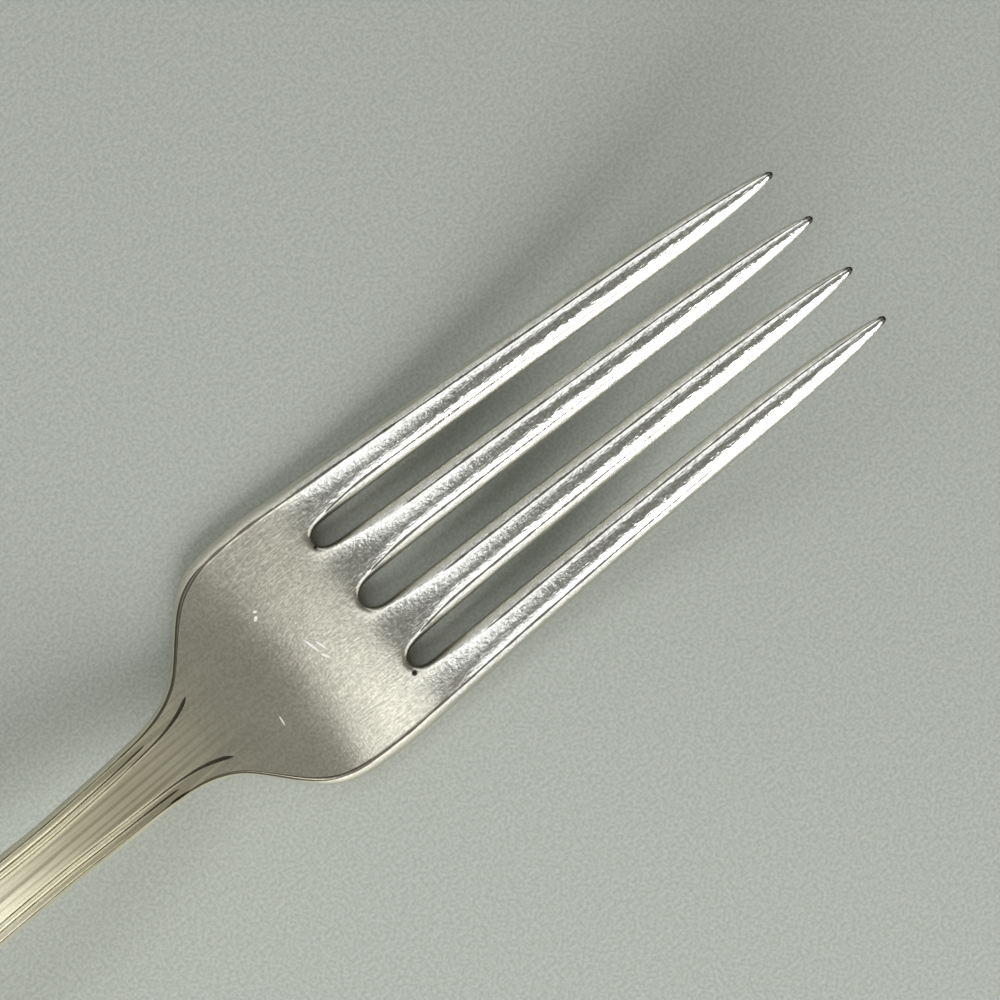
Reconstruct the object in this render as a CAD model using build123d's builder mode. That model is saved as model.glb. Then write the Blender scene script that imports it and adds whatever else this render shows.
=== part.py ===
"""A four-tined silver dinner fork, lying face up on a table.

The fork is one forging, given here as the regions that a maker would name: four tines, the bowl, the neck,
the stem and the rounded end of the handle. They meet face to face on upright planes.
X runs along the fork towards the tips, Y across it and Z up from the table, with the origin under its middle.
"""
from build123d import *
import os
from math import atan, cos, pi, radians, sin, sqrt, tanh

# Sizes seen from above
overall_length = 200.0
tine_length = 49.6
outer_tine_shortfall = 0.35
tine_root_width = 4.5
tine_end_width = 2.4
tine_point_length = 14.0
tine_blunt_width = 0.3
head_width = 24.8
tip_spread = 15.2
middle_slot_extra = 0.4
widest_behind_slots = 3.5
shoulder_behind_slots = 14.7
shoulder_softness = 3.4
waist_width = 6.05
waist_behind_slots = 33.0
neck_flare = 0.035
handle_end_width = 19.0

# Sizes seen from the side
tine_bend_radius = 105.0
tine_bend_behind_slots = 5.0
heel_length = 2.5
heel_radius = 34.0
neck_radius = 62.0
neck_angle = 26.0
end_bend_radius = 90.0
rest_wear = 0.03
tine_tip_thickness = 1.1
head_thickness = 2.2
waist_thickness = 3.2
end_thickness = 2.2

# Sizes of the cross-section
belt_share = 0.5
head_wall_run = 0.8
handle_wall_run = 0.5
back_run = 0.55
waist_back_round = 0.7
tine_crown = 0.35
tine_back_round = 0.2
crown_blend = 7.0
dish_depth = 0.7
slot_land = 0.9

# Threads along the edges of the handle, and the ridge along its middle
outer_thread_inset = 1.13
inner_thread_inset = 1.66
thread_width = 0.34
thread_depth = 0.2
bead_height = 0.1
ridge_height = 0.25
outer_thread_end_behind_slots = 22.5
inner_thread_end_behind_slots = 17.4
thread_fade_length = 5.0
ridge_start_behind_slots = 27.0
ridge_fade_length = 12.0
faint_share = 0.05
handle_split_behind_slots = 33.0

# Number of cross-sections drawn along each region
bowl_steps = 10
neck_steps = 8
end_bend_steps = 6
stem_steps = 10
tine_steps = 6
point_steps = 6
last_point_angle = 8.0

# Places along X that follow from the sizes
tip_x = overall_length / 2
slot_root_x = tip_x - tine_length
widest_x = slot_root_x - widest_behind_slots
shoulder_x = slot_root_x - shoulder_behind_slots
waist_x = slot_root_x - waist_behind_slots
outer_thread_end_x = slot_root_x - outer_thread_end_behind_slots
bowl_split_x = slot_root_x - inner_thread_end_behind_slots
stem_split_x = slot_root_x - handle_split_behind_slots
ridge_start_x = slot_root_x - ridge_start_behind_slots
end_centre_x = -overall_length / 2 + handle_end_width / 2
tine_bend_x = slot_root_x - tine_bend_behind_slots
heel_x = tine_bend_x - heel_length

# The back of the handle rises from the heel to a crest, then falls to the flat at its end
neck_tilt = radians(neck_angle)
crest_run = (heel_radius + neck_radius) * sin(neck_tilt)
crest_rise = (heel_radius + neck_radius) * (1 - cos(neck_tilt)) - rest_wear
neck_start_x = heel_x - heel_radius * sin(neck_tilt)
crest_x = heel_x - crest_run
fall_run = crest_x - end_centre_x
fall_tilt = 2 * atan(crest_rise / fall_run)
stem_radius = fall_run / sin(fall_tilt) - end_bend_radius
end_bend_x = end_centre_x + end_bend_radius * sin(fall_tilt)


def ease(share):
    """Rises smoothly from 0 to 1 while share goes from 0 to 1."""
    held = min(max(share, 0.0), 1.0)
    return held * held * (3 - 2 * held)


def blend(start, end, share):
    """The value that lies a share of the way from start to end."""
    return start + (end - start) * share


def rise(run, radius):
    """How far an arc that starts level has risen after a run."""
    return radius - sqrt(radius ** 2 - run ** 2)


def faded(share):
    """Rises from a faint trace to 1, for lines that run out on the surface."""
    return blend(faint_share, 1, ease(share))


def spaced(start, end, steps):
    """Evenly spaced places from start to end."""
    return [blend(start, end, index / steps) for index in range(steps + 1)]


def underside(x):
    """Height of the middle of the back above the table, before the bowl is worn flat where it rests."""
    if x >= tine_bend_x:
        return rise(x - tine_bend_x, tine_bend_radius) - rest_wear
    if x >= heel_x:
        return -rest_wear
    if x >= neck_start_x:
        return rise(heel_x - x, heel_radius) - rest_wear
    if x >= crest_x:
        return crest_rise - rise(x - crest_x, neck_radius)
    if x >= end_bend_x:
        return crest_rise - rise(crest_x - x, stem_radius)
    return rise(x - end_centre_x, end_bend_radius)


def shoulder_share(x):
    """0 on the handle and 1 on the head, with the shoulder between."""
    return (1 + tanh((x - shoulder_x) / shoulder_softness)) / 2


def tine_half(x):
    """Half the width of a tine before its point is shaped."""
    return blend(tine_root_width, tine_end_width, (x - slot_root_x) / tine_length) / 2


def outer_edge(x):
    """Distance from the middle to the outer edge of an outer tine, a straight line from the bowl."""
    tip_edge = tip_spread / 2 + tine_end_width / 2
    return blend(head_width / 2, tip_edge, (x - widest_x) / (tip_x - widest_x))


def tine_centre(number, x):
    """Distance from the middle to the centre line of a tine, with -Y for tines 1 and 2."""
    outer = outer_edge(x) - tine_half(x)
    inner = (outer + middle_slot_extra) / 3
    return {1: -outer, 2: -inner, 3: inner, 4: outer}[number]


def slot_middle(number, x):
    """Where the middle line of the slot beside a tine lies."""
    return (tine_centre(number, x) + tine_centre(number + 1, x)) / 2


def slot_half(number, x):
    """Half the width of the slot beside a tine, at its narrowest height."""
    return tine_centre(number + 1, x) - slot_middle(number, x) - tine_half(x)


# The tines leave the bowl a little past the round ends of the slots
widest_slot_half = max(slot_half(number, slot_root_x) for number in (1, 2, 3))
tine_split_x = slot_root_x + widest_slot_half + slot_land


def half_width(x):
    """Half the width of the bowl and the handle."""
    if x <= waist_x:
        share = (x - end_centre_x) / (waist_x - end_centre_x)
        return blend(handle_end_width, waist_width, ease(share)) / 2
    neck_half = waist_width / 2 + neck_flare * (min(x, shoulder_x) - waist_x)
    head_half = outer_edge(max(x, widest_x))
    return blend(neck_half, head_half, shoulder_share(x))


def thickness(x):
    """Height of the creases above the back."""
    if x <= waist_x:
        share = (x - end_centre_x) / (waist_x - end_centre_x)
        return blend(end_thickness, waist_thickness, ease(share))
    if x <= widest_x:
        return blend(waist_thickness, head_thickness, ease((x - waist_x) / (widest_x - waist_x)))
    return blend(head_thickness, tine_tip_thickness, ease((x - widest_x) / (tip_x - widest_x)))


def wall_run(x):
    """How far the sloped side wall stands out past the crease."""
    return blend(handle_wall_run, head_wall_run, shoulder_share(x))


def back_round(x):
    """How far the edges of the back are lifted above its middle."""
    if x <= waist_x:
        return waist_back_round * ease((x - end_bend_x) / (waist_x - end_bend_x))
    return waist_back_round * (1 - ease((x - waist_x) / (tine_split_x - waist_x)))


def bow(start, end, lift):
    """A shallow curve between two points whose middle stands above their chord by lift."""
    middle = ((start[0] + end[0]) / 2, (start[1] + end[1]) / 2 + 2 * lift)
    return Bezier(start, middle, end)


def belted_outline(centre, half, base, tall, wall, back, crown, belly):
    """A plate whose side walls lean in above and below a belt, with a crowned or dished top."""
    belt = base + belly + (tall - belly) * belt_share
    for side in (1, -1):
        crease = (centre + side * (half - wall), base + tall)
        edge = (centre + side * half, belt)
        foot = (centre + side * (half - back), base + belly)
        Line(crease, edge)
        Line(edge, foot)
    bow((centre - half + wall, base + tall), (centre + half - wall, base + tall), crown)
    bow((centre - half + back, base + belly), (centre + half - back, base + belly), -belly)


def thread_points(half, top, inset, depth):
    """The lips and the bottom of one V-shaped thread line, from the inner lip outwards."""
    middle = half - inset
    return [(middle - thread_width / 2, top), (middle, top - depth), (middle + thread_width / 2, top)]


def handle_half_outline(x, side):
    """One side of the threaded handle, from the ridge round to the middle of the back."""
    half = half_width(x)
    base = underside(x)
    top = base + thickness(x)
    belly = back_round(x)
    outer_fade = faded((outer_thread_end_x - x) / thread_fade_length)
    inner_fade = faded((bowl_split_x - x) / thread_fade_length)
    ridge = ridge_height * faded(min(ridge_start_x - x, x - end_centre_x) / ridge_fade_length)
    inner = thread_points(half, top, inner_thread_inset, thread_depth * inner_fade)
    outer = thread_points(half, top, outer_thread_inset, thread_depth * outer_fade)
    crease = (half - wall_run(x), top)
    edge = (half, base + belly + (top - base - belly) * belt_share)
    foot = (half - back_run, base + belly)
    corners = [(0, top + ridge), *inner, *outer, crease, edge, foot]
    placed = [(side * y, z) for y, z in corners]
    Polyline(*placed[0:4])
    bow(placed[3], placed[4], bead_height * inner_fade)
    Polyline(*placed[4:7])
    bow(placed[6], placed[7], bead_height * outer_fade)
    Polyline(*placed[7:10])
    return placed[0], placed[-1]


def handle_outline(x):
    """The whole cross-section of the threaded handle."""
    right_foot = handle_half_outline(x, 1)[1]
    left_foot = handle_half_outline(x, -1)[1]
    bow(left_foot, right_foot, -back_round(x))


# Handle end: half of the handle's section turned about an upright axis, so the threads run round it
with BuildPart() as handle_end:
    with BuildSketch(Plane.YZ.offset(end_centre_x)):
        with BuildLine():
            crown_point, foot_point = handle_half_outline(end_centre_x, 1)
            Polyline(foot_point, (0, foot_point[1]), crown_point)
        make_face()
    revolve(axis=Axis((end_centre_x, 0, 0), (0, 0, 1)), revolution_arc=180)

# Stem: the long handle, from its round end to the waist
with BuildPart() as stem:
    bend_stations = spaced(end_centre_x, end_bend_x, end_bend_steps)
    for station in bend_stations[:-1] + spaced(end_bend_x, stem_split_x, stem_steps):
        with BuildSketch(Plane.YZ.offset(station)):
            with BuildLine():
                handle_outline(station)
            make_face()
    loft()

# Neck: the waist behind the bowl, where the threads run out
with BuildPart() as neck:
    for station in spaced(stem_split_x, bowl_split_x, neck_steps):
        with BuildSketch(Plane.YZ.offset(station)):
            with BuildLine():
                handle_outline(station)
            make_face()
    loft()


def bowl_outline(x):
    """Cross-section of the bowl, dished along its middle and level where it meets its neighbours."""
    along = (x - bowl_split_x) / (tine_split_x - bowl_split_x)
    dish = dish_depth * sin(pi * along) ** 2
    belted_outline(0, half_width(x), underside(x), thickness(x), wall_run(x), back_run, -dish, back_round(x))


def slot_half_outline(number):
    """Half of the gap between two tines where they leave the bowl, from the slot's middle line outwards."""
    base = underside(tine_split_x)
    tall = thickness(tine_split_x)
    belt_gap = slot_half(number, tine_split_x)
    back_gap = belt_gap + back_run
    crease_gap = belt_gap + wall_run(tine_split_x)
    return [(0, base - tall), (back_gap, base - tall), (back_gap, base), (belt_gap, base + tall * belt_share),
            (crease_gap, base + tall), (crease_gap, base + 2 * tall), (0, base + 2 * tall)]


# Bowl: the dished plate with its shoulders, three rounded slot roots and a small worn flat to rest on
with BuildPart() as bowl:
    for station in spaced(bowl_split_x, tine_split_x, bowl_steps):
        with BuildSketch(Plane.YZ.offset(station)):
            with BuildLine():
                bowl_outline(station)
            make_face()
    loft()
    for number in (1, 2, 3):
        gap = slot_half_outline(number)
        slot_y = slot_middle(number, tine_split_x)
        round_x = slot_root_x + slot_half(number, tine_split_x)
        slot_plane = Plane((round_x, slot_y, 0), x_dir=(0, 1, 0), z_dir=(1, 0, 0))
        with BuildSketch(slot_plane):
            with BuildLine():
                Polyline(*gap, close=True)
            make_face()
        revolve(axis=Axis((round_x, slot_y, 0), (0, 0, 1)), revolution_arc=360, mode=Mode.SUBTRACT)
        with BuildSketch(slot_plane):
            with BuildLine():
                Polyline(*gap, close=True)
            make_face()
            mirror(about=Plane.YZ)
        extrude(amount=tine_split_x - round_x, mode=Mode.SUBTRACT)
    split(bisect_by=Plane.XY, keep=Keep.TOP)

def tine_outline(number, x, point_x):
    """Cross-section of a tine, crowned above, rounded below and narrowed to an ellipse along its point."""
    ahead = max((x - point_x) / tine_point_length, 0)
    narrowing = blend(tine_blunt_width / tine_end_width, 1, sqrt(1 - min(ahead, 1) ** 2))
    half = tine_half(x) * narrowing
    tall = thickness(x) * sqrt(narrowing)
    trim = half / tine_half(tine_split_x)
    grown = trim * ease((x - tine_split_x) / crown_blend)
    belted_outline(tine_centre(number, x), half, underside(x), tall, wall_run(x) * trim, back_run * trim,
                   tine_crown * grown, tine_back_round * grown)


# Tines: numbered from the -Y edge, with the outer two a little shorter
tines = []
for number in (1, 2, 3, 4):
    end_x = tip_x - (outer_tine_shortfall if number in (1, 4) else 0)
    point_x = end_x - tine_point_length
    point_angles = spaced(90, last_point_angle, point_steps)[1:] + [0]
    point_stations = [point_x + tine_point_length * cos(radians(angle)) for angle in point_angles]
    with BuildPart() as tine:
        for station in spaced(tine_split_x, point_x, tine_steps) + point_stations:
            with BuildSketch(Plane.YZ.offset(station)):
                with BuildLine():
                    tine_outline(number, station, point_x)
                make_face()
        loft()
    tine.part.label = f"tine_{number}"
    tines.append(tine)

handle_end.part.label = "handle_end"
stem.part.label = "stem"
neck.part.label = "neck"
bowl.part.label = "bowl"

os.makedirs("parts", exist_ok=True)
for piece in (handle_end, stem, neck, bowl, *tines):
    export_step(piece.part, f"parts/{piece.part.label}.step")
    box = piece.part.bounding_box()
    print(piece.part.label, "solids", len(piece.part.solids()), "volume", round(piece.part.volume, 1),
          "from", [round(v, 2) for v in box.min], "to", [round(v, 2) for v in box.max])
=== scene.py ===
# %% [markdown]
# # A worn silver dinner fork
# This lesson dresses a fork that was first built as eight CAD solids: four tines, a bowl, a neck, a stem
# and a rounded handle end. On the real fork they are one forging with one unbroken skin, so here a single
# mesh stands for all eight, and light runs over it without a seam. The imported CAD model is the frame: it
# gives the places.

# %% Load the frame
import math
import bmesh
import bpy
from mathutils import Matrix, Vector


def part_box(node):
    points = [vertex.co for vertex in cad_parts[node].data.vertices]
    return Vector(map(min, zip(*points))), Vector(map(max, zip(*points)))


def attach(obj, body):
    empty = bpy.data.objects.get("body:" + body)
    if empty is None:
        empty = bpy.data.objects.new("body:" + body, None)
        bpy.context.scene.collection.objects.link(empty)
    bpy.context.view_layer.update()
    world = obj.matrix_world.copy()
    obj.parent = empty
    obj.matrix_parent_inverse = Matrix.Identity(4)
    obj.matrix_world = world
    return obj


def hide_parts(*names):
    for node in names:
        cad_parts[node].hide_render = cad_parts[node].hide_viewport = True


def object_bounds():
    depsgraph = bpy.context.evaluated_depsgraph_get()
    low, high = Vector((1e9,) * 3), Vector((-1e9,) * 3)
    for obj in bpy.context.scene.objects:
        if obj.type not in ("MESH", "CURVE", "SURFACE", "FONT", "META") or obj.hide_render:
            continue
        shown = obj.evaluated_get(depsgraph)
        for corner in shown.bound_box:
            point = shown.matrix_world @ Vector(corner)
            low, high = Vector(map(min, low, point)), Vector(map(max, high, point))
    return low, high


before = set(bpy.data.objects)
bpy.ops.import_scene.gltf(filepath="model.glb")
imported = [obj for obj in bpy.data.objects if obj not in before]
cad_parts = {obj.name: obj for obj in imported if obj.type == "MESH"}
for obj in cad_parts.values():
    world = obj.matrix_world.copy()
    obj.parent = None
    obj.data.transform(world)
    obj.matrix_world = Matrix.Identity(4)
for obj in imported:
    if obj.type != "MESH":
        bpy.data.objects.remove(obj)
cad_low, cad_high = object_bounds()
print("CAD box from", tuple(cad_low), "to", tuple(cad_high))

# %% [markdown]
# ## Places taken from the frame
# The solids meet on upright planes across the fork, and those planes are the landmarks of the skin: where
# the round end starts, where the waist is, where the bowl begins and where the tines leave it. Shapes are
# worked out in millimetres, because a fork is small, and the finished mesh is scaled to metres in one
# step.

# %% Landmarks along the fork
MM = 0.001
tip_x = cad_high.x / MM
end_centre_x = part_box("stem")[0].x / MM
waist_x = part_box("neck")[0].x / MM
bowl_start_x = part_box("bowl")[0].x / MM
end_trim = 0.02
handle_end_width = 2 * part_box("handle_end")[1].y / MM - end_trim
outer_tine_shortfall = tip_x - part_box("tine_1")[1].x / MM
tine_length = 49.6
slot_root_x = tip_x - tine_length
print("slots start at", round(slot_root_x, 2), "mm, waist at", round(waist_x, 2), "mm")

# %% [markdown]
# ## Two helpers for smooth change
# A forging has no sudden steps: widths and heights swell and fade. `ease` gives a soft start and stop,
# and `blend` mixes two sizes. Nearly every curve of the fork comes from this pair.

# %% Ease and blend


def ease(share):
    """Rises smoothly from 0 to 1 while share goes from 0 to 1."""
    held = min(max(share, 0.0), 1.0)
    return held * held * (3 - 2 * held)


def blend(start, end, share):
    """The value that lies a share of the way from start to end."""
    return start + (end - start) * share


def spaced(start, end, steps):
    """Evenly spaced places from start to end."""
    return [blend(start, end, index / steps) for index in range(steps + 1)]


print("halfway ease", ease(0.5))

# %% [markdown]
# ## The side view
# Seen from the side, the back of a fork is a chain of arcs. It lies on the table under the bowl, sweeps
# up along the tines, climbs over the heel to a crest behind the neck, and falls again to the end of the
# handle. Each arc starts where the last one stops and at the same slope, so the chain has no kink.

# %% Arcs of the back
tine_bend_radius = 105.0
tine_bend_x = slot_root_x - 5.0
heel_x = tine_bend_x - 2.5
heel_radius = 34.0
neck_radius = 62.0
neck_tilt = math.radians(26.0)
end_bend_radius = 90.0
rest_wear = 0.03
crest_run = (heel_radius + neck_radius) * math.sin(neck_tilt)
crest_rise = (heel_radius + neck_radius) * (1 - math.cos(neck_tilt)) - rest_wear
neck_start_x = heel_x - heel_radius * math.sin(neck_tilt)
crest_x = heel_x - crest_run
fall_run = crest_x - end_centre_x
fall_tilt = 2 * math.atan(crest_rise / fall_run)
stem_radius = fall_run / math.sin(fall_tilt) - end_bend_radius
end_bend_x = end_centre_x + end_bend_radius * math.sin(fall_tilt)


def rise(run, radius):
    """How far an arc that starts level has risen after a run."""
    return radius - math.sqrt(radius ** 2 - run ** 2)


def underside(x):
    """Height of the middle of the back above the table."""
    if x >= tine_bend_x:
        return rise(x - tine_bend_x, tine_bend_radius)
    if x >= heel_x:
        return 0.0
    if x >= neck_start_x:
        return rise(heel_x - x, heel_radius)
    if x >= crest_x:
        return crest_rise - rise(x - crest_x, neck_radius)
    if x >= end_bend_x:
        return crest_rise - rise(crest_x - x, stem_radius)
    return rise(max(x - end_centre_x, 0.0), end_bend_radius)


print("crest of the back", round(crest_rise, 2), "mm high at", round(crest_x, 2), "mm")

# %% [markdown]
# ## The view from above
# The outline is narrow at the waist, spreads over two soft shoulders to the bowl, and then runs straight
# in to the tips. A `tanh` curve is a good shoulder: it is flat, steep, then flat again. Each tine tapers
# evenly to a long point, and the two outer tines are a hair shorter than the inner ones.

# %% Widths and centre lines
tine_root_width = 4.5
tine_end_width = 2.4
tine_point_length = 14.0
tine_blunt_width = 0.3
head_width = 24.8
tip_spread = 15.2
middle_slot_extra = 0.4
widest_x = slot_root_x - 3.5
shoulder_x = slot_root_x - 14.7
shoulder_softness = 3.4
waist_width = 6.05
neck_flare = 0.035


def shoulder_share(x):
    """0 on the handle and 1 on the head, with the shoulder between."""
    return (1 + math.tanh((x - shoulder_x) / shoulder_softness)) / 2


def tine_half(x):
    """Half the width of a tine before its point is shaped."""
    return blend(tine_root_width, tine_end_width, (x - slot_root_x) / tine_length) / 2


def outer_edge(x):
    """Distance from the middle to the outer edge of the head."""
    tip_edge = tip_spread / 2 + tine_end_width / 2
    return blend(head_width / 2, tip_edge, (x - widest_x) / (tip_x - widest_x))


def tine_centres(x):
    """Distances from the middle to the centre lines of an inner and an outer tine."""
    outer = outer_edge(x) - tine_half(x)
    return (outer + middle_slot_extra) / 3, outer


def half_width(x):
    """Half the width of the handle and the bowl."""
    if x <= waist_x:
        share = (x - end_centre_x) / (waist_x - end_centre_x)
        return blend(handle_end_width, waist_width, ease(share)) / 2
    neck_half = waist_width / 2 + neck_flare * (min(x, shoulder_x) - waist_x)
    return blend(neck_half, outer_edge(max(x, widest_x)), shoulder_share(x))


print("half width at the shoulder", round(half_width(shoulder_x), 2), "mm")

# %% [markdown]
# ## The cross-section
# Across the metal there are always the same heights. The top ends at a crease, the side wall swells out
# to a belt, and below the belt the edge turns in again to the back. So each section needs only a
# thickness, the run of the wall, and how far the back is rounded up at its edges. Two more loops, one
# above the belt and one below it, make the wall as round as a buffed edge is.

# %% Thickness, walls and back
head_thickness = 2.2
waist_thickness = 3.2
end_thickness = 2.2
tine_tip_thickness = 1.1
belt_share = 0.5
head_wall_run = 1.05
handle_wall_run = 0.5
back_run = 0.55
waist_back_round = 0.7
tine_back_round = 0.2
BACK, LOWER, BELT, UPPER, TOP = range(5)


def thickness(x):
    """Height of the creases above the back."""
    if x <= waist_x:
        share = (x - end_centre_x) / (waist_x - end_centre_x)
        return blend(end_thickness, waist_thickness, ease(share))
    if x <= widest_x:
        return blend(waist_thickness, head_thickness, ease((x - waist_x) / (widest_x - waist_x)))
    return blend(head_thickness, tine_tip_thickness, ease((x - widest_x) / (tip_x - widest_x)))


def back_round(x):
    """How far the edges of the back are lifted above its middle."""
    if x <= waist_x:
        return waist_back_round * ease((x - end_bend_x) / (waist_x - end_bend_x))
    return waist_back_round * (1 - ease((x - waist_x) / (slot_root_x - waist_x)))


def edge_inset(x, level):
    """How far the edge of the back, the belt or the top stands in from the belt."""
    wall = blend(handle_wall_run, head_wall_run, shoulder_share(x))
    return {BACK: back_run, BELT: 0.0, TOP: wall}[level]


print("thickness at the waist", waist_thickness, "and at the tips", tine_tip_thickness, "mm")

# %% [markdown]
# ## A chart of rows and lines
# The skin is planned on a flat chart, as a sailmaker plans a sail. Rows run across the fork and are close
# together where the shape changes fast. Lines run along it, numbered from the middle outwards. On the
# handle the lines are the ridge, the lips and bottoms of the thread lines, and the crease. On the head
# the same lines have fanned out to become the creases, bands and crests of the tines, and the middles of
# the slots.

# %% Rows along the fork
edge_line = 11
slot_lines = (0, 6)
slot_side_lines = (1, 5, 7)
crest_lines = (3, 9)
inner_thread_line = 4
outer_thread_line = 7
inner_thread_end_x = bowl_start_x
outer_thread_end_x = slot_root_x - 22.5
thread_fade_length = 0.9
slot_start_x = slot_root_x - 0.2
slot_second_x = slot_root_x + 2.4
point_x = tip_x - tine_point_length
stem_steps = 24
neck_steps = 5
thread_end_steps = 3
bowl_steps = 11
tine_steps = 10
point_steps = 8

row_x = spaced(end_centre_x, waist_x, stem_steps)
row_x += spaced(waist_x, outer_thread_end_x, neck_steps)[1:]
row_x += spaced(outer_thread_end_x + thread_fade_length, inner_thread_end_x, thread_end_steps)
row_x += spaced(inner_thread_end_x + thread_fade_length, slot_start_x, bowl_steps)
root_row = len(row_x) - 1
row_x += spaced(slot_second_x, point_x, tine_steps)
for step in range(1, point_steps + 1):
    row_x.append(point_x + tine_point_length * math.sin(math.pi / 2 * step / point_steps))
last_row = len(row_x) - 1
print("rows", last_row + 1, "with the slots starting at row", root_row)

# %% [markdown]
# The chart itself is Blender's grid. It is scaled so that one unit is one row or one line, which makes
# every later choice readable: the faces of a slot are simply those past the root row beside a slot line.

# %% The grid, with the slots cut out
blank = bmesh.new()
bmesh.ops.create_grid(blank, x_segments=last_row, y_segments=2 * edge_line, size=0.5)
bmesh.ops.scale(blank, verts=blank.verts, vec=(last_row, 2 * edge_line, 1))
bmesh.ops.translate(blank, verts=blank.verts, vec=(last_row / 2, 0, 0))


def lies_in_slot(face):
    """True for a face of the chart that the slots take away."""
    middle = face.calc_center_median()
    beside = any(abs(abs(middle.y) - line) < 1 for line in slot_lines)
    return middle.x > root_row and beside


slot_faces = [face for face in blank.faces if lies_in_slot(face)]
bmesh.ops.delete(blank, geom=slot_faces, context="FACES")
print("cut", len(slot_faces), "faces for three slots and kept", len(blank.faces))

# %% [markdown]
# ## The round end of the chart
# On the handle the thread lines run round the end and come back on the other side. A spin does this: half
# of the first row is turned by 180 degrees about the middle of the end. The spin repeats the point on its
# axis and the far half row, so doubles are merged afterwards.

# %% Spin the end
end_steps = 20
chart_slack = 0.1
weld_distance = 0.01
half_row = []
for edge in blank.edges:
    if all(abs(vert.co.x) < chart_slack and vert.co.y > -chart_slack for vert in edge.verts):
        half_row.append(edge)
half_row_points = list({vert for edge in half_row for vert in edge.verts})
bmesh.ops.spin(blank, geom=half_row + half_row_points, cent=(0, 0, 0), axis=(0, 0, 1), angle=math.pi,
               steps=end_steps)
bmesh.ops.remove_doubles(blank, verts=blank.verts, dist=weld_distance)
print("chart with its round end has", len(blank.faces), "faces")

# %% [markdown]
# ## From a sheet to a plate
# Extruding the whole sheet once gives the plate a top, a back and side walls. The upright edges are then
# cut in four, and the middle one of the new loops is the belt. The chart's height now says which loop a
# point belongs to: 0 for the back, 2 for the belt and 4 for the top.

# %% Extrude the plate and cut the loops of its walls
raised = bmesh.ops.extrude_face_region(blank, geom=blank.faces[:], use_keep_orig=True)
raised_points = [item for item in raised["geom"] if isinstance(item, bmesh.types.BMVert)]
bmesh.ops.translate(blank, verts=raised_points, vec=(0, 0, TOP))
uprights = [edge for edge in blank.edges if abs(edge.verts[0].co.z - edge.verts[1].co.z) > BELT]
bmesh.ops.subdivide_edges(blank, edges=uprights, cuts=TOP - 1, use_grid_fill=True)
bmesh.ops.recalc_face_normals(blank, faces=blank.faces)
print("plate has", len(blank.verts), "points and", len(blank.faces), "faces")

# %% [markdown]
# ## Where a line runs on the handle
# A double thread is an old border for handles: two fine grooves with a bead between them and a bead
# outside, which follow the edge all the way round. Their distance from the edge stays the same while the
# handle widens, and the flat panel between them takes up the rest.

# %% Lines of the handle
outer_thread_inset = 1.13
inner_thread_inset = 1.66
thread_width = 0.26
thread_depth = 0.13
thread_end_depth = 0.025
thread_end_length = 9.0
bead_height = 0.04
ridge_height = 0.32
ridge_start_x = slot_root_x - 27.0
ridge_fade_length = 12.0
panel_shares = (0.0, 0.4, 0.8)
bead_shares = (0.35, 0.75)


def handle_lines(half):
    """Distances of the twelve lines from the middle of the handle, from the ridge to the crease."""
    threads = []
    for inset in (inner_thread_inset, outer_thread_inset):
        threads += [half - inset + side * thread_width / 2 for side in (-1, 0, 1)]
    crease = half - handle_wall_run
    panel = [threads[0] * share for share in panel_shares]
    bead = [blend(threads[-1], crease, share) for share in bead_shares]
    return panel + threads + bead + [crease]


def thread_fade(x, end_x):
    """1 along a thread line, falling to 0 just past its end."""
    return ease((end_x + thread_fade_length - x) / thread_fade_length)


def near_end(x, end_x):
    """0 along a thread line, rising to 1 where it runs out."""
    return ease((x - end_x + thread_end_length) / thread_end_length)


def border_height(x, line):
    """How far the ridge, the threads and the beads stand above or below the plain top."""
    ridge = ridge_height * ease(min(ridge_start_x - x, x - end_centre_x) / ridge_fade_length)
    inner = thread_fade(x, inner_thread_end_x)
    outer = thread_fade(x, outer_thread_end_x)
    inner_depth = inner * blend(thread_depth, thread_end_depth, near_end(x, inner_thread_end_x))
    outer_depth = outer * blend(thread_depth, thread_end_depth, near_end(x, outer_thread_end_x))
    bead = bead_height * (1 - near_end(x, outer_thread_end_x))
    heights = [ridge * (1 - share) for share in panel_shares]
    heights += [0.0, -inner_depth, bead]
    heights += [bead, -outer_depth, bead / 2]
    heights += [bead, bead, 0.0]
    return heights[line]


print("lines at the waist", [round(y, 2) for y in handle_lines(waist_width / 2)])

# %% [markdown]
# ## Where a line runs on the head
# Each tine is crossed by five lines: a crease, a band, the crest, a band and a crease. The point narrows
# as an ellipse does, so it is long and keen but has no needle. Through the bowl the lines fan out from
# their places on the handle to their places on the tines.

# %% Lines of the head
tine_shares = (-1.0, -0.55, 0.0, 0.55, 1.0)
root_wall_share = 0.25
slot_wall_length = 6.0
fan_start_x = slot_root_x - 23.4
fan_end_x = slot_root_x - 4.4


def narrowing(x):
    """Share of its width that a tine keeps along its point."""
    ahead = min(max((x - point_x) / tine_point_length, 0.0), 1.0)
    return blend(tine_blunt_width / tine_end_width, 1, math.sqrt(1 - ahead ** 2))


def slot_wall(x, level):
    """Share of the wall's run that is left beside a slot, where the wall closes towards the root."""
    grown = blend(root_wall_share, 1, ease((x - slot_root_x) / slot_wall_length))
    return grown if level == TOP else 1.0


def tine_line(x, line, level):
    """Distance of a line of the tines from the middle, and its share of the way from crest to edge."""
    inner, outer = tine_centres(x)
    if line == slot_lines[0]:
        return 0.0, 1.0
    if line == slot_lines[1]:
        return (inner + outer) / 2, 1.0
    centre = inner if line < slot_lines[1] else outer
    share = tine_shares[(line - 1) % slot_lines[1]]
    half = tine_half(x) * narrowing(x)
    trim = half / tine_half(slot_root_x)
    if line < slot_lines[1] or share < 0:
        trim *= slot_wall(x, level)
    return centre + share * (half - edge_inset(x, level) * trim), share


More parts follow.
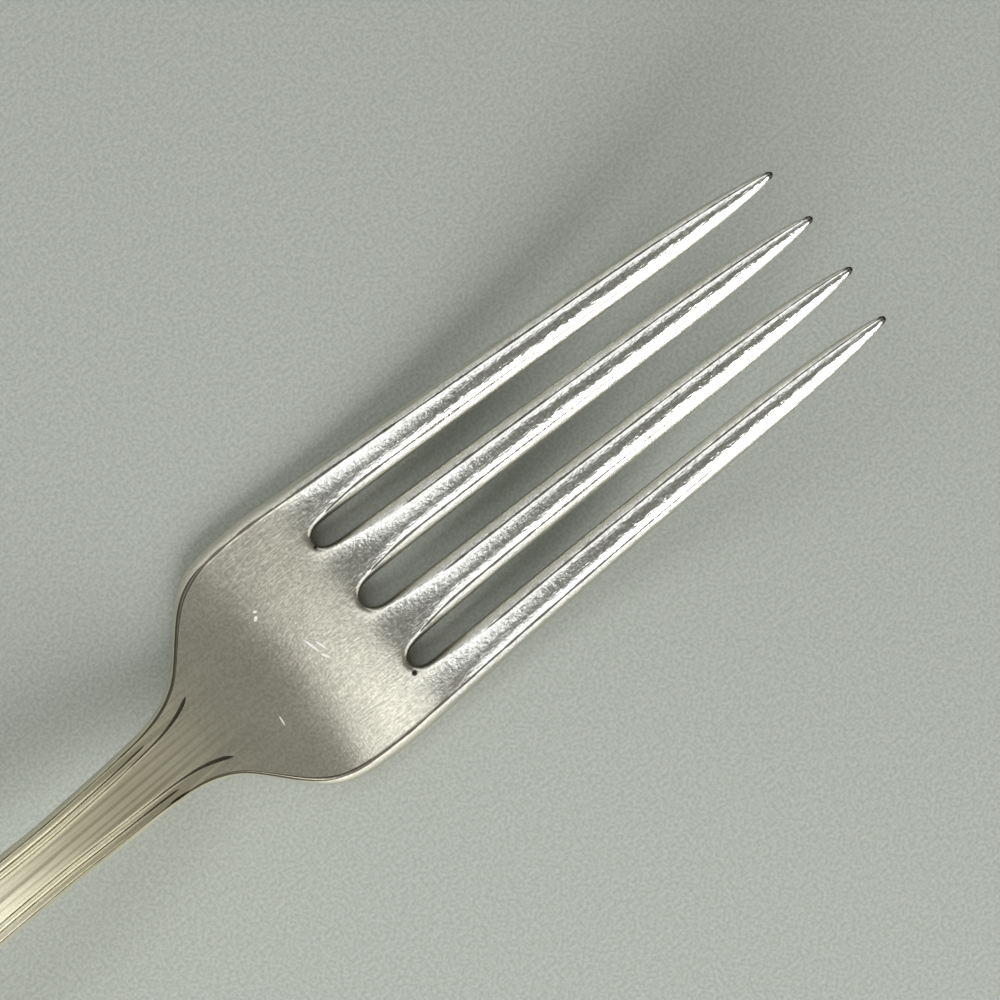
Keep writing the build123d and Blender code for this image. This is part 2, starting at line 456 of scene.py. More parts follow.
def head_line(x, line):
    """Distance of a line from the middle on the bowl, in step with the tines."""
    root_reach = half_width(slot_start_x) - edge_inset(slot_start_x, TOP)
    reach = half_width(x) - edge_inset(x, TOP)
    return tine_line(slot_start_x, line, TOP)[0] * reach / root_reach


def bowl_line(x, line):
    """Distance of a line from the middle, anywhere behind the slots."""
    wall_shift = handle_wall_run - edge_inset(x, TOP)
    on_handle = handle_lines(half_width(x) + wall_shift)[line]
    return blend(on_handle, head_line(x, line), ease((x - fan_start_x) / (fan_end_x - fan_start_x)))


root_lines = [tine_line(slot_root_x, line, TOP)[0] for line in range(edge_line + 1)]
print("tine lines at the roots", [round(y, 2) for y in root_lines])

# %% [markdown]
# ## Heights of the top
# The bowl is dished a little, deepest just behind the slots, so food doesn't slide off, and the dish runs
# out on the first part of the tines. Each tine is crowned, which is what draws two bright lines along it.
# Both are parabolas across the fork that grow and fade along it.

# %% Dish and crown
dish_depth = 0.45
dish_end_x = slot_root_x + 8.0
tine_crown = 0.28
crown_start_x = slot_root_x - 1.0
crown_length = 6.0


def dish(x, across):
    """Depth of the dish, where across is 0 on the middle line and 1 at the creases."""
    along = min(max((x - bowl_start_x) / (dish_end_x - bowl_start_x), 0.0), 1.0)
    return dish_depth * math.sin(math.pi * along) ** 2 * (1 - across ** 2)


def crown(x):
    """Height of a tine's crest above its creases."""
    trim = narrowing(x) * tine_half(x) / tine_half(slot_root_x)
    return tine_crown * trim * ease((x - crown_start_x) / crown_length)


print("dish at the slot roots", round(dish(slot_root_x, 0.0), 2), "mm")

# %% [markdown]
# ## Placing every point
# Now each point of the chart is sent to its place on the fork. The round slot ends need care: three
# points on a smooth subdivision make a good half circle if the side points stand about a third of a
# radius ahead of the end and the middle point a little behind it.

# %% Places on the handle, the bowl and the tines
slot_side_ahead = 0.45
slot_middle_behind = 0.154
tip_round = 0.15


def plate_spot(x, y, reach, level, line):
    """A point of the handle or the bowl, where reach is the edge of its surface."""
    base = underside(x)
    belly = back_round(x)
    if level == BELT:
        return Vector((x, y, base + belly + (thickness(x) - belly) * belt_share))
    across = y / reach
    if level == BACK:
        return Vector((x, y, base + belly * across ** 2))
    height = base + thickness(x) - dish(x, across)
    return Vector((x, y, height + border_height(x, line)))


def handle_spot(x, line, level):
    """A point behind the slots."""
    top_reach = half_width(x) - edge_inset(x, TOP)
    reach = half_width(x) - edge_inset(x, level)
    return plate_spot(x, bowl_line(x, line) * reach / top_reach, reach, level, line)


def root_spot(line, level):
    """A point of the row that holds the round ends of the slots."""
    x = slot_start_x
    y, share = tine_line(x, line, level)
    if line in slot_lines + slot_side_lines:
        inner, outer = tine_centres(slot_root_x)
        gap = inner if line < crest_lines[0] else (outer - inner) / 2
        slot_half = gap - tine_half(slot_root_x)
        inset = edge_inset(slot_root_x, level) * slot_wall(slot_root_x, level)
        ahead = -slot_middle_behind if line in slot_lines else slot_side_ahead
        x = slot_root_x - inset + ahead * (slot_half + inset)
    spot = plate_spot(x, y, half_width(x) - edge_inset(x, level), level, edge_line)
    if level == TOP:
        spot.z += crown(x) * (1 - share ** 2)
    return spot


def tine_spot(row, line, level):
    """A point of a tine, past the slot roots."""
    x = row_x[row]
    y, share = tine_line(x, line, level)
    kept = narrowing(x)
    base = underside(x)
    tall = thickness(x) * math.sqrt(kept)
    belly = tine_back_round * kept * ease((x - crown_start_x) / crown_length)
    across = y / (outer_edge(x) - edge_inset(x, TOP))
    heights = {BACK: belly * share ** 2, BELT: belly + (tall - belly) * belt_share,
               TOP: tall + crown(x) * (1 - share ** 2) - dish(x, across)}
    if line > slot_lines[1]:
        x -= outer_tine_shortfall * ease((x - point_x) / tine_point_length)
    if row == last_row and level != BELT:
        x -= tip_round
    return Vector((x, y, base + heights[level]))


print("tip of an inner tine at", tuple(round(v, 2) for v in tine_spot(last_row, crest_lines[0], BELT)))

# %% [markdown]
# One function picks the rule for a point by its row. The two loops between the belt and the edges of the
# wall need no rule of their own: each stands part of the way from its neighbour to the belt, further out
# than up or down, and that makes the wall swell. On the round end a line is a circle about the end's
# middle, so its place is turned.

# %% The place of any point
wall_swell = {
    LOWER: {"near": BACK, "out_share": 0.6, "height_share": 0.3},
    UPPER: {"near": TOP, "out_share": 0.7, "height_share": 0.4},
}


def swell_spot(chart, near, out_share, height_share):
    """A point of a wall between a near level and the belt."""
    edge = place(Vector((chart.x, chart.y, near)))
    belt = place(Vector((chart.x, chart.y, BELT)))
    spot = edge.lerp(belt, out_share)
    spot.z = blend(edge.z, belt.z, height_share)
    return spot


def place(chart):
    """Sends a point of the chart to its place on the fork."""
    level = round(chart.z)
    if level in wall_swell:
        return swell_spot(chart, **wall_swell[level])
    if chart.x < -chart_slack:
        line = round(math.hypot(chart.x, chart.y))
        turn = math.atan2(chart.y, -chart.x)
        spot = handle_spot(end_centre_x, line, level)
        return Vector((end_centre_x - spot.y * math.cos(turn), spot.y * math.sin(turn), spot.z))
    row = round(chart.x)
    line = abs(round(chart.y))
    if row < root_row:
        spot = handle_spot(row_x[row], line, level)
    elif row == root_row:
        spot = root_spot(line, level)
    else:
        spot = tine_spot(row, line, level)
    spot.y = math.copysign(spot.y, chart.y)
    return spot


print("far end of the handle at", tuple(round(v, 2) for v in place(Vector((-edge_line, 0, BELT)))))

# %% [markdown]
# ## Which edges stay crisp
# A subdivision surface rounds everything, and a crease value holds an edge back from that. The rims of
# the top are crisp on a fork that was finished with a file, the foot is softer, the belt is round, and
# the thread bottoms are crisp only where the thread is there.

# %% Creases on the chart
crease_layer = blank.edges.layers.float.new("crease_edge")
top_rim_crease = 0.42
foot_crease = 0.25
thread_crease = 0.4
tip_rim_length = 1.0
ridge_line = 0
crisp_lines = {inner_thread_line: inner_thread_end_x, outer_thread_line: outer_thread_end_x,
               ridge_line: ridge_start_x}


def chart_row_x(chart):
    """Place along the fork of a point of the chart."""
    return row_x[max(round(chart.x), 0)]


def chart_line(chart):
    """Number of the line that a point of the chart lies on."""
    return round(math.hypot(chart.x, chart.y)) if chart.x < -chart_slack else abs(round(chart.y))


def thread_edge(levels, lines, thread_line, furthest, end_x):
    """True for an edge that lies along the bottom of a thread line, or along the ridge."""
    return levels == {TOP} and lines == {thread_line} and furthest <= end_x + weld_distance


def crispness(edge):
    """Crease value of an edge of the chart."""
    ends = [vert.co for vert in edge.verts]
    levels = {round(end.z) for end in ends}
    around = {round(vert.co.z) for face in edge.link_faces for vert in face.verts}
    lines = {chart_line(end) for end in ends}
    furthest = max(chart_row_x(end) for end in ends)
    if len(levels) > 1 or levels & {LOWER, BELT, UPPER}:
        return 0.0
    if LOWER in around:
        return foot_crease
    if UPPER in around:
        round_end = lines & set(slot_lines) or lines == {edge_line} and furthest > tip_x - tip_rim_length
        return 0.0 if round_end else top_rim_crease
    for line, end_x in crisp_lines.items():
        if thread_edge(levels, lines, line, furthest, end_x):
            return thread_crease
    return 0.0


crisp_edges = 0
for edge in blank.edges:
    edge[crease_layer] = crispness(edge)
    crisp_edges += edge[crease_layer] > 0
print("crisp edges", crisp_edges)

# %% [markdown]
# ## Where tarnish, grime and painted shade stay
# A cloth can't reach into the threads, so they turn dark with tarnish. The dark lines along the rims and
# the shoulders are tarnish and painted shade together, and the ends of the tips are painted shade. On the
# slot rims the line is left off near the root, for longer on the rims that face +Y. The walls of the slots
# near their roots, and the rim round each root, get brown grime mixed with painted shade. Instead of
# painting a texture, a number is kept on each point of the mesh. Subdivision smooths the numbers as it
# does the shape, and the material draws a dark line wherever a number is high enough: a larger one gives
# a wider line.

# %% Tarnish, dull walls and grime on the chart
tarnish_and_shade_layer = blank.verts.layers.float.new("tarnish_and_shade")
wall_layer = blank.verts.layers.float.new("wall")
grime_and_shade_layer = blank.verts.layers.float.new("grime_and_shade")
# The rim and shoulder values draw tarnish together with painted shade; the thread values are tarnish alone.
rim_tarnish_and_shade = 1.08
left_rims = (5, 11)
left_rim_plain_length = 9.0
right_rim_plain_length = 2.0
shoulder_tarnish_and_shade = 2.4
shoulder_line_x = shoulder_x - 1.5
shoulder_line_reach = 4.6
thread_tarnish = 1.2
thread_end_tarnish = 2.3
thread_lip_tarnish = 0.6
# The tip value paints the ends of the tips dark: painted shade.
tip_painted_shade = 1.08
shaded_tip_length = 0.5
back_dullness = 0.3
# The slot values draw brown dirt mixed with painted shade on the slot walls and round the slot roots.
grime_and_shade_length = 7.0
root_halo_grime_and_shade = 0.45


def slot_rim_tarnish_and_shade(chart, x):
    """Tarnish with painted shade on a slot rim, kept off near the root, longer on a rim that faces +Y."""
    faces_left = (chart_line(chart) in left_rims) == (chart.y > 0)
    plain_length = left_rim_plain_length if faces_left else right_rim_plain_length
    return rim_tarnish_and_shade * ease((x - slot_root_x) / plain_length)


def tarnish_and_shade_at(vert):
    """How dark a point is drawn: tarnished threads, tarnished rims and shoulders with painted shade, and
    painted shade on the tips. The more, the wider the dark line there.
    """
    x = chart_row_x(vert.co)
    line = chart_line(vert.co)
    rim = any(round(edge.other_vert(vert).co.z) == UPPER for edge in vert.link_edges)
    if x > tip_x - shaded_tip_length and round(vert.co.z) >= BELT:
        return tip_painted_shade
    if round(vert.co.z) != TOP:
        return 0.0
    if rim and line < edge_line:
        return slot_rim_tarnish_and_shade(vert.co, x)
    if rim:
        shoulder = math.exp(-((x - shoulder_line_x) / shoulder_line_reach) ** 2)
        return blend(rim_tarnish_and_shade, shoulder_tarnish_and_shade, shoulder)
    if line == inner_thread_line:
        wide = blend(thread_tarnish, thread_end_tarnish, near_end(x, inner_thread_end_x))
        return wide * thread_fade(x, inner_thread_end_x)
    if abs(line - inner_thread_line) == 1:
        return thread_lip_tarnish * near_end(x, inner_thread_end_x) * thread_fade(x, inner_thread_end_x)
    if line == outer_thread_line:
        wide = blend(thread_tarnish, shoulder_tarnish_and_shade, near_end(x, outer_thread_end_x))
        return wide * thread_fade(x, outer_thread_end_x)
    return 0.0


def wall_share(level):
    """How much of the dull finish of the walls a loop has."""
    return {TOP: 0.0, BACK: back_dullness}.get(level, 1.0)


def grime_and_shade_at(chart):
    """How much dirt with painted shade darkens the walls of a slot near its root and the rim round the
    root.
    """
    level = round(chart.z)
    line = chart_line(chart)
    if level == TOP and round(chart.x) == root_row and line in slot_lines + slot_side_lines:
        return root_halo_grime_and_shade
    if line == edge_line or chart.x < root_row or level in (BACK, TOP):
        return 0.0
    return 1 - ease((chart_row_x(chart) - slot_root_x) / grime_and_shade_length)


for vert in blank.verts:
    vert[tarnish_and_shade_layer] = tarnish_and_shade_at(vert)
    vert[wall_layer] = wall_share(round(vert.co.z))
    vert[grime_and_shade_layer] = grime_and_shade_at(vert.co)
print("points with tarnish", sum(vert[tarnish_and_shade_layer] > 0 for vert in blank.verts))

# %% [markdown]
# ## The fork as an object
# Now every point leaves the chart for its place. The mesh is scaled from millimetres to metres, its
# normals are set to point outwards, and a Subdivision Surface smooths it. The object stays at the origin,
# because its place is in its points.

# %% Finish the mesh
for vert in blank.verts:
    vert.co = place(vert.co)
bmesh.ops.scale(blank, verts=blank.verts, vec=(MM, MM, MM))
bmesh.ops.recalc_face_normals(blank, faces=blank.faces)
skin = bpy.data.meshes.new("fork_skin")
blank.to_mesh(skin)
blank.free()
fork = bpy.data.objects.new("fork", skin)
bpy.context.scene.collection.objects.link(fork)
skin.polygons.foreach_set("use_smooth", [True] * len(skin.polygons))
smoothing = fork.modifiers.new("smooth_forging", "SUBSURF")
smoothing.levels = 2
smoothing.render_levels = 2
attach(fork, "root")
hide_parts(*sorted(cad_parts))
print("fork mesh has", len(skin.polygons), "faces before smoothing")

# %% [markdown]
# ## Node helpers
# Materials are written with two small helpers: one adds a node and fills its sockets, the other links a
# value or a socket to a socket. That keeps each finish readable as a short recipe.

# %% Helpers for material nodes


def add(tree, kind, settings=None, **sockets):
    """Adds a node, sets its properties, and fills its sockets with values or links."""
    made = tree.nodes.new(kind)
    for name, value in (settings or {}).items():
        setattr(made, name, value)
    for name, value in sockets.items():
        fill_socket(tree, made.inputs[name.replace("_", " ")], value)
    return made


def fill_socket(tree, socket, value):
    """Links a socket to an input, or writes a plain value into it."""
    if isinstance(value, bpy.types.NodeSocket):
        tree.links.new(value, socket)
    else:
        socket.default_value = value


def new_material(name):
    """An empty node material, and its node tree."""
    material = bpy.data.materials.new(name)
    material.use_nodes = True
    material.node_tree.nodes.clear()
    return material, material.node_tree


print("node helpers ready")

# %% [markdown]
# ## Worn silver
# Old table silver isn't a mirror. Years of washing leave a haze of fine scratches, small dents catch the
# light as a mottle, and a brown tarnish stays in every recess that a cloth can't reach; on the rims, the
# shoulders and the tips its dark lines are painted shade as well. Each of these is one small group of
# nodes on the fork's own coordinates, so nothing slides when the camera moves.

# %% Silver material
silver, tree = new_material("worn_silver")
coordinates = add(tree, "ShaderNodeTexCoord").outputs["Object"]
along_fork = add(tree, "ShaderNodeSeparateXYZ", Vector=coordinates).outputs["X"]


def noise(scale, detail=2.0, roughness=0.5, vector=None):
    """Soft random values with a grain of about one metre over the scale."""
    return add(tree, "ShaderNodeTexNoise", Vector=coordinates if vector is None else vector, Scale=scale,
               Detail=detail, Roughness=roughness).outputs["Fac"]


def ramp(value, low, high, start, end):
    """Maps a value from low and high to start and end, with a soft start and stop."""
    return add(tree, "ShaderNodeMapRange", {"interpolation_type": "SMOOTHSTEP"}, Value=value, From_Min=low,
               From_Max=high, To_Min=start, To_Max=end).outputs["Result"]


def maths(operation, first, second):
    """One sum on two values."""
    made = add(tree, "ShaderNodeMath", {"operation": operation})
    for socket, value in zip(made.inputs, (first, second)):
        fill_socket(tree, socket, value)
    return made.outputs["Value"]


def mix_colour(share, start, end):
    """A colour that lies a share of the way from start to end."""
    made = add(tree, "ShaderNodeMix", {"data_type": "RGBA"})
    sockets = [socket for socket in made.inputs if socket.type == "RGBA"]
    fill_socket(tree, made.inputs["Factor"], share)
    fill_socket(tree, sockets[0], start)
    fill_socket(tree, sockets[1], end)
    return next(socket for socket in made.outputs if socket.type == "RGBA")


def reached(start_x, end_x):
    """0 before a stretch of the fork, 1 past it, with a soft change along it."""
    return ramp(along_fork, start_x * MM, end_x * MM, 0.0, 1.0)


on_tines = reached(slot_root_x - 3.0, slot_root_x + 4.0)
on_neck = reached(bowl_start_x + 6.0, bowl_start_x - 8.0)
on_handle = reached(waist_x + 4.0, waist_x - 16.0)
wall = add(tree, "ShaderNodeAttribute", {"attribute_name": "wall"}).outputs["Fac"]
haze_scale = 160.0
haze = noise(haze_scale, 5.0, 0.65)
print("silver material started")

# %% [markdown]
# A scratch is a noise that is squeezed hard one way, so that only long thin lines of it are left, and
# three sets of them cross on the fork. The tines, which touch plates and other cutlery, have small dents
# as well. The neck has the streaks that wiping leaves along it. Each is a bump on top of the last one,
# only hundredths of a millimetre deep.

# %% Scratches, dents, grain and streaks
scratch_sets = ((80.0, 700.0, 9000.0), (62.0, 500.0, 11000.0), (-25.0, 600.0, 10000.0))
scratch_depth = 0.00002
dent_scale = 2800.0
dent_stretch = 0.55
dent_depth = 0.0001
grain_scale = 4500.0
grain_depth = 0.00003
streak_scales = (6.0, 2200.0, 6.0)
streak_depth = 0.00003


def squeezed(scales, turn=0.0):
    """The fork's coordinates, turned about Z and stretched or squeezed along each axis."""
    return add(tree, "ShaderNodeMapping", Vector=coordinates, Rotation=(0, 0, math.radians(turn)),
               Scale=scales).outputs["Vector"]


def bump(height, strength, depth, below=None, hollow=False):
    """Raises the surface, or sinks it where hollow, on top of the bumps below."""
    made = add(tree, "ShaderNodeBump", {"invert": hollow}, Height=height, Strength=strength, Distance=depth)
    if below is not None:
        fill_socket(tree, made.inputs["Normal"], below)
    return made.outputs["Normal"]


scratches = None
for turn, short_scale, long_scale in scratch_sets:
    lined = squeezed((short_scale, long_scale, short_scale), -turn)
    layer = ramp(noise(1.0, 1.0, 0.5, lined), 0.6, 0.74, 0.0, 1.0)
    scratches = layer if scratches is None else maths("MAXIMUM", scratches, layer)
dents = noise(dent_scale, 3.0, 0.6, squeezed((dent_stretch, 1.0, 1.0)))
streaks = noise(1.0, 1.5, 0.5, squeezed(streak_scales))
relief = bump(maths("MULTIPLY", dents, on_tines), 0.3, dent_depth)
relief = bump(scratches, 0.2, scratch_depth, relief, hollow=True)
relief = bump(noise(grain_scale, 2.0, 0.6), 0.3, grain_depth, relief)
relief = bump(maths("MULTIPLY", streaks, on_neck), 0.4, streak_depth, relief)
print("scratches in", len(scratch_sets), "directions")

# %% [markdown]
# Roughness says how far a reflection is blurred. The tines are rubbed bright by use, the bowl is hazier,
# and the neck and the side walls, which a cloth only brushes, are the dullest. The haze varies it a
# little from place to place.

# %% Polish
tine_roughness = 0.08
bowl_roughness = 0.2
neck_extra_roughness = 0.21
wall_extra_roughness = 0.2
polish = ramp(on_tines, 0.0, 1.0, bowl_roughness, tine_roughness)
polish = maths("ADD", polish, ramp(haze, 0.3, 0.7, -0.02, 0.04))
polish = maths("ADD", polish, ramp(on_neck, 0.0, 1.0, 0.0, neck_extra_roughness))
polish = maths("ADD", polish, ramp(wall, 0.0, 1.0, 0.0, wall_extra_roughness))
neck_roughness = bowl_roughness + neck_extra_roughness
print("roughness from", tine_roughness, "on the tines to", round(neck_roughness, 2), "on the neck")

# %% [markdown]
# Single marks are ovals: a texture mapping shrinks a patch of the fork to a circle of radius one, so the
# distance from its middle says what lies inside. The nicks are small hollows of fresh rough metal, so
# they look pale from any side. The specks are dirt that has settled at the roots of two slots and on the
# side of the neck. Both read X and Y alone, so they go right through to the back.

# %% Nicks and specks
nick_depth = 0.00004
nick_extra_roughness = 0.6
mark_raggedness = 0.2
mark_core = 0.5
nicks = ((44.6, -0.2, 1.0, 0.13, -75.0), (45.3, -0.7, 0.8, 0.12, -72.0), (45.0, -1.6, 0.5, 0.15, -60.0),
         (42.3, 4.7, 0.35, 0.2, 40.0), (42.6, 5.2, 0.25, 0.16, -30.0), (38.6, -3.6, 0.6, 0.08, 84.0),
         (42.9, -9.9, 0.6, 0.08, 88.0))
specks = ((50.2, 6.3, 0.22, 0.18, 0.0), (50.1, -7.6, 0.3, 0.28, 0.0), (28.0, -3.0, 1.3, 0.16, -6.0))
flat = add(tree, "ShaderNodeVectorMath", {"operation": "MULTIPLY"}).outputs["Vector"]
tree.links.new(coordinates, flat.node.inputs[0])
flat.node.inputs[1].default_value = (1 / MM, 1 / MM, 0)


def marks(ovals):
    """1 inside any of the ovals, each given by its middle, half length, half width and turn."""
    found = None
    for x, y, half_length, half_breadth, turn in ovals:
        oval = add(tree, "ShaderNodeMapping", {"vector_type": "TEXTURE"}, Vector=flat, Location=(x, y, 0),
                   Rotation=(0, 0, math.radians(turn)), Scale=(half_length, half_breadth, 1))
        reach = add(tree, "ShaderNodeVectorMath", {"operation": "LENGTH"}, Vector=oval.outputs["Vector"])
        raggedness = ramp(haze, 0.3, 0.7, -mark_raggedness, mark_raggedness)
        ragged = maths("ADD", reach.outputs["Value"], raggedness)
        inside = ramp(ragged, 1.0, mark_core, 0.0, 1.0)
        found = inside if found is None else maths("MAXIMUM", found, inside)
    return found


nick_amount = marks(nicks)
relief = bump(nick_amount, 0.3, nick_depth, relief, hollow=True)
polish = maths("ADD", polish, ramp(nick_amount, 0.0, 1.0, 0.0, nick_extra_roughness))
speck_amount = marks(specks)
print(len(nicks), "nicks and", len(specks), "specks")

# %% [markdown]
# Silver takes its colour from wear. Rubbed metal is nearly white, the bowl is a shade warmer, and the
# neck keeps a yellow patina in streaks. Each finish is a pair of colours mixed by a fine speckle or by
# the streaks. Over them come the dull walls, the fresh metal of the nicks, the slot dirt with its painted
# shade and, last and darkest, the tarnish, which on the rims, shoulders and tips is painted shade as well.

# %% Colour of the silver and its tarnish
tine_silver = (0.96, 0.97, 0.93, 1)
tine_shade = (0.70, 0.71, 0.68, 1)
bowl_silver = (0.95, 0.935, 0.815, 1)
bowl_shade = (0.78, 0.765, 0.66, 1)
neck_patina = (1.0, 0.95, 0.71, 1)
neck_shade = (0.70, 0.655, 0.47, 1)
handle_silver = (0.84, 0.81, 0.68, 1)
dull_wall = (0.64, 0.62, 0.53, 1)
fresh_silver = (0.99, 0.98, 0.95, 1)
# The dark colour is tarnish, and painted shade with it on the rims, shoulders and tips.
dark_tarnish_and_shade = (0.05, 0.04, 0.025, 1)
# The brown colour is dirt mixed with painted shade, on the slot walls near their roots.
brown_grime_and_shade = (0.17, 0.15, 0.10, 1)
speckle_scale = 3500.0
dark_line_scale = 420.0
narrow_line_edge = 0.93
wide_line_edge = 0.8
dark_line_fade = 0.06
dark_line_cover = 0.9
grime_and_shade_cover = 0.75
handle_plainness = 0.75
# These nodes turn the stored numbers into dark lines: tarnish, and painted shade on the rims, shoulders and
# tips.
tarnish_and_shade_value = add(tree, "ShaderNodeAttribute", {"attribute_name": "tarnish_and_shade"}).outputs["Fac"]
edge_of_dark_line = ramp(noise(dark_line_scale, 4.0), 0.3, 0.7, narrow_line_edge, wide_line_edge)
fully_dark = maths("ADD", edge_of_dark_line, dark_line_fade)
dark_line_amount = ramp(tarnish_and_shade_value, edge_of_dark_line, fully_dark, 0.0, dark_line_cover)
dark_amount = maths("MAXIMUM", dark_line_amount, speck_amount)
dullness = maths("MULTIPLY", wall, ramp(haze, 0.35, 0.65, 0.6, 0.95))
speckle = ramp(noise(speckle_scale, 3.0, 0.65), 0.35, 0.65, 0.0, 1.0)
tine_colour = mix_colour(speckle, tine_shade, tine_silver)
bowl_colour = mix_colour(speckle, bowl_shade, bowl_silver)
streaked = mix_colour(ramp(streaks, 0.41, 0.59, 0.0, 1.0), neck_shade, neck_patina)
neck_colour = mix_colour(ramp(on_handle, 0.0, 1.0, 0.0, handle_plainness), streaked, handle_silver)
plain = mix_colour(on_neck, mix_colour(on_tines, bowl_colour, tine_colour), neck_colour)
worn = mix_colour(dullness, plain, dull_wall)
# Dirt mixed with painted shade darkens the slot walls near their roots.
grime_and_shade = add(tree, "ShaderNodeAttribute", {"attribute_name": "grime_and_shade"}).outputs["Fac"]
nicked = mix_colour(nick_amount, worn, fresh_silver)
grimy_and_shaded = mix_colour(ramp(grime_and_shade, 0.0, 1.0, 0.0, grime_and_shade_cover), nicked, brown_grime_and_shade)
colour = mix_colour(dark_amount, grimy_and_shaded, dark_tarnish_and_shade)
shader = add(tree, "ShaderNodeBsdfPrincipled", Base_Color=colour, Metallic=1.0, Roughness=polish,
             Normal=relief)
add(tree, "ShaderNodeOutputMaterial", Surface=shader.outputs["BSDF"])
skin.materials.append(silver)
print("worn silver has", len(tree.nodes), "nodes")

# %% [markdown]
# ## The table
# The fork lies on a plain cool grey table. A wide disc that curves up at its rim gives the side views a
# quiet backdrop too. It is made as a turner would: a profile line, spun once round.

# %% Table and backdrop
table_radius = 1.8
cove_radius = 0.5
cove_height = 1.4
cove_steps = 8
cove_sides = 64
cove_weld_distance = 0.0001
cove = bmesh.new()
profile = [cove.verts.new((0, 0, 0)), cove.verts.new((table_radius, 0, 0))]
for step in range(1, cove_steps + 1):
    angle = math.pi / 2 * step / cove_steps
    reach = table_radius + cove_radius * math.sin(angle)
    profile.append(cove.verts.new((reach, 0, cove_radius * (1 - math.cos(angle)))))
profile.append(cove.verts.new((table_radius + cove_radius, 0, cove_height)))
profile_edges = [cove.edges.new(pair) for pair in zip(profile, profile[1:])]
bmesh.ops.spin(cove, geom=profile + profile_edges, cent=(0, 0, 0), axis=(0, 0, 1), angle=2 * math.pi,
               steps=cove_sides, use_merge=True)
bmesh.ops.remove_doubles(cove, verts=cove.verts, dist=cove_weld_distance)
bmesh.ops.recalc_face_normals(cove, faces=cove.faces)
table_mesh = bpy.data.meshes.new("table")
cove.to_mesh(table_mesh)
cove.free()
table = bpy.data.objects.new("table", table_mesh)
bpy.context.scene.collection.objects.link(table)
table_mesh.polygons.foreach_set("use_smooth", [True] * len(table_mesh.polygons))
print("table has", len(table_mesh.polygons), "faces")

# %% [markdown]
# The table's paint is two close greys in a fine grain. It is nearly matt, so that no lamp shines back
# from it and the soft shadows of the tines stay clear.

# %% Table paint
table_colour = (0.42, 0.444, 0.406, 1)
table_fleck = (0.53, 0.559, 0.514, 1)
table_grain_scale = 3200.0
table_grain_depth = 0.0001
table_paint, tree = new_material("table_paint")
coordinates = add(tree, "ShaderNodeTexCoord").outputs["Object"]
table_grain = noise(table_grain_scale, 2.0, 0.6)
paint = mix_colour(ramp(table_grain, 0.3, 0.7, 0.0, 1.0), table_colour, table_fleck)
shader = add(tree, "ShaderNodeBsdfPrincipled", Base_Color=paint, Roughness=0.8, Specular_IOR_Level=0.15,
             Normal=bump(table_grain, 0.3, table_grain_depth))
add(tree, "ShaderNodeOutputMaterial", Surface=shader.outputs["BSDF"])
table_mesh.materials.append(table_paint)
print("table paint has", len(tree.nodes), "nodes")

# %% [markdown]
# ## Light
# Bright metal shows what it faces. The tines carry two white lines because a long soft light stands on
# each side of the fork: the key on the right and the fill on the left, with a dimmer one low on the left
# for the side walls. Their crests are dark, because the space overhead is dim. Two narrow lights across
# the fork, nearly overhead, give the pale band over the bowl. The last one is like a window on the right,
# behind the bowl. It lights the table, most of all on its own side because it stands nearest, and throws
# the shadows to the left and towards the tips.

# %% Soft lights
rig_distance = 0.6
window_distance = 0.36
room_colour = (0.215, 0.213, 0.191, 1)


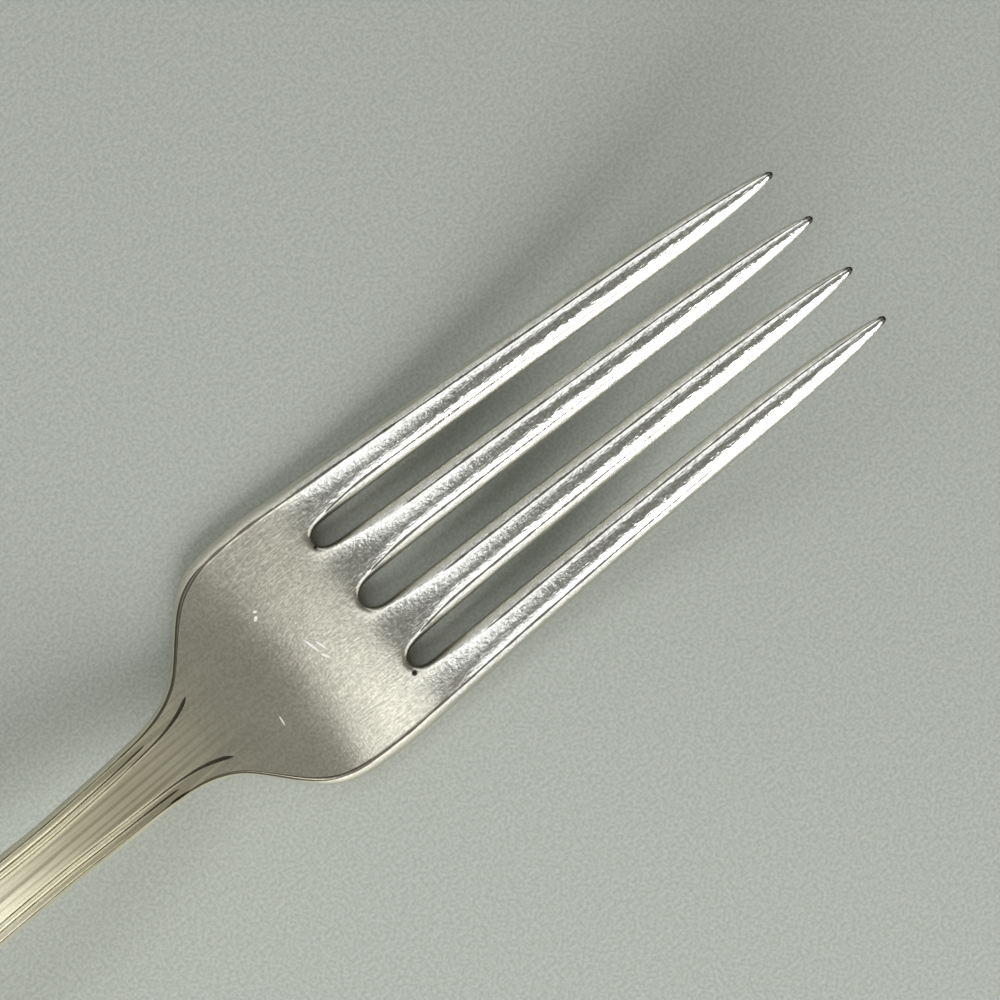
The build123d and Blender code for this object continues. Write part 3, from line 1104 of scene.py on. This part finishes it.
def soft_light(name, side_angle, tip_angle, along, across, radiance, distance=rig_distance):
    """A rectangle of white light that faces the bowl. Its leans and sizes are angles in degrees."""
    lean_to_right = Matrix.Rotation(math.radians(side_angle), 3, "X")
    lean = lean_to_right @ Matrix.Rotation(math.radians(tip_angle), 3, "Y")
    light = bpy.data.lights.new(name, "AREA")
    light.shape = "RECTANGLE"
    light.size = 2 * distance * math.tan(math.radians(along / 2))
    light.size_y = 2 * distance * math.tan(math.radians(across / 2))
    light.energy = radiance * math.pi * light.size * light.size_y
    lamp = bpy.data.objects.new(name, light)
    middle = Vector((slot_root_x * MM, 0, 0))
    lamp.matrix_world = Matrix.Translation(middle + lean @ Vector((0, 0, distance))) @ lean.to_4x4()
    lamp.visible_camera = False
    bpy.context.scene.collection.objects.link(lamp)


# Lean to the right, lean to the tips, size along the fork, size across it, and brightness.
soft_light("key", 55, -14, 86, 50, 1.1)
soft_light("fill", -38, -6, 102, 24, 1.08)
soft_light("low_left", -68, -6, 102, 22, 0.55)
soft_light("overhead", -8, -6, 16, 56, 0.12)
soft_light("overhead_left", -11, -6, 16, 28, 0.94)
soft_light("window", 52, -32, 30, 30, 6.15, window_distance)
world = bpy.data.worlds.new("room")
world.use_nodes = True
world.node_tree.nodes["Background"].inputs["Color"].default_value = room_colour
bpy.context.scene.world = world
bpy.context.scene.view_settings.view_transform = "Standard"
print("six soft lights and a dim room")

# %% [markdown]
# ## The camera
# The photograph was taken from nearly straight above, a little from one side, with the fork running from
# the lower left corner to the upper right. These values were fitted to the outline of the fork in the
# picture.

# %% Camera
view_middle = Vector((0.06525, -0.00046, 0.002))
view_distance = 0.3
lean_to_side = math.radians(3.96)
lean_to_tips = math.radians(-0.14)
picture_turn = math.radians(38.56)
focal_pixels = 3463.0
picture_pixels = 1000.0

back = Vector((math.sin(lean_to_tips), math.sin(lean_to_side), 0))
back.z = math.sqrt(1 - back.x ** 2 - back.y ** 2)
level_right = Vector((0, 1, 0)).cross(back).normalized()
level_up = back.cross(level_right)
right = math.cos(picture_turn) * level_right - math.sin(picture_turn) * level_up
up = math.sin(picture_turn) * level_right + math.cos(picture_turn) * level_up
lens = bpy.data.cameras.new("camera")
lens.sensor_width = 36.0
lens.lens = lens.sensor_width * focal_pixels / picture_pixels
lens.clip_start = 0.01
camera = bpy.data.objects.new("camera", lens)
turn = Matrix((right, up, back)).transposed()
camera.matrix_world = Matrix.Translation(view_middle + view_distance * back) @ turn.to_4x4()
bpy.context.scene.collection.objects.link(camera)
bpy.context.scene.camera = camera
print("camera at", tuple(round(v, 4) for v in camera.location), "with a lens of", round(lens.lens, 1), "mm")

# %% Finish
bpy.context.view_layer.update()
